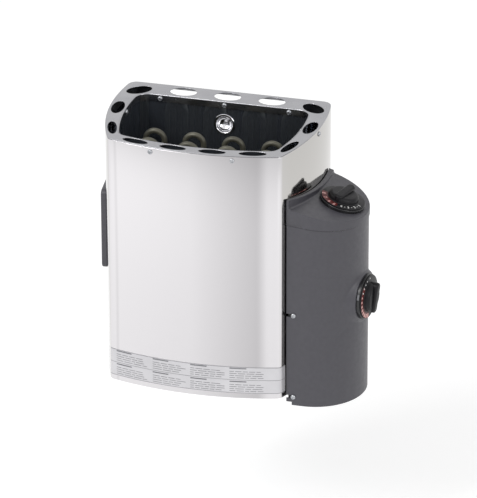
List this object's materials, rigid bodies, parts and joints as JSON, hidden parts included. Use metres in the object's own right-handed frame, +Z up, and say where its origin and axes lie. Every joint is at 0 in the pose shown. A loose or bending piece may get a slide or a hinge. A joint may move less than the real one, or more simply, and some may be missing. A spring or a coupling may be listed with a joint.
{
  "type": "sauna heater stove",
  "caption": "Wall-hung electric sauna heater: a bowed steel casing with a perforated rim round an open stone chamber with tubular elements, and a control box with timer and thermostat dials.",
  "frame": {"origin": "middle of the wall bracket's back face, on the wall", "axes": "+Y into the wall, +Z up, +X to the right seen from the front (the control box side)"},
  "size_m": [0.4165, 0.244, 0.395],
  "materials": {
    "polished": "polished stainless steel sheet",
    "satin": "satin stainless steel",
    "dark": "polished stainless steel in shade",
    "element": "heat-tinted tubular heating element",
    "zinc": "zinc-plated steel",
    "graphite": "satin graphite grey moulding",
    "black": "satin black",
    "ceramic": "pale insulating body",
    "fibre": "woven glass-fibre sleeve",
    "copper": "bare capillary tube",
    "red": "red push button"
  },
  "bodies": {
    "heater": {"box_chassis": "black", "box_cover": "graphite", "box_floor": "zinc", "box_lid": "graphite", "cable_gland": "black", "casing_screw_front_left": "zinc", "casing_screw_front_right": "zinc", "casing_screw_side_left": "zinc", "casing_screw_side_right": "zinc", "cover_screw_1": "zinc", "cover_screw_2": "zinc", "element_carrier": "zinc", "element_nut_front_left": "zinc", "element_nut_front_right": "zinc", "element_nut_middle_left": "zinc", "element_nut_middle_right": "zinc", "element_nut_rear_left": "zinc", "element_nut_rear_right": "zinc", "foot_plate": "zinc", "gland_nut": "black", "heating_element_front": "element", "heating_element_middle": "element", "heating_element_rear": "element", "lead_sleeve": "fibre", "left_blank_cover": "graphite", "limiter_unit": "ceramic", "lock_cup": "polished", "lock_screw": "polished", "outer_casing": "polished", "rear_rail": "zinc", "rim_screw_back_1": "zinc", "rim_screw_back_2": "zinc", "rim_screw_back_3": "zinc", "rim_screw_left": "zinc", "rim_screw_right": "zinc", "stone_grate": "satin", "stone_liner": "dark", "terminal_block": "ceramic", "thermostat_bezel": "graphite", "thermostat_capillary": "copper", "thermostat_unit": "ceramic", "timer_bezel": "graphite", "timer_unit": "ceramic", "top_rim": "satin", "wall_bracket": "zinc", "wall_spacer_left": "black", "wall_spacer_right": "black"},
    "timer_dial": {"timer_knob": "black", "timer_shaft": "zinc"},
    "thermostat_dial": {"thermostat_knob": "black", "thermostat_shaft": "zinc"},
    "reset_button": {"limiter_button": "red"}
  },
  "joints": [
    {"name": "timer_turn", "type": "hinge", "parent": "heater", "child": "timer_dial", "pos_m": [0.19374, -0.14, -0.01309], "axis": [-0.2504, 0, -0.9681], "range_deg": [0, 300]},
    {"name": "thermostat_turn", "type": "hinge", "parent": "heater", "child": "thermostat_dial", "pos_m": [0.23084, -0.1514, -0.1512], "axis": [-0.9888, 0.1495, 0], "range_deg": [-135, 135]},
    {"name": "reset_press", "type": "slide", "parent": "heater", "child": "reset_button", "axis": [0, 0, 1], "range_m": [0, 0.002], "stiffness_N_per_m": 600}
  ]
}
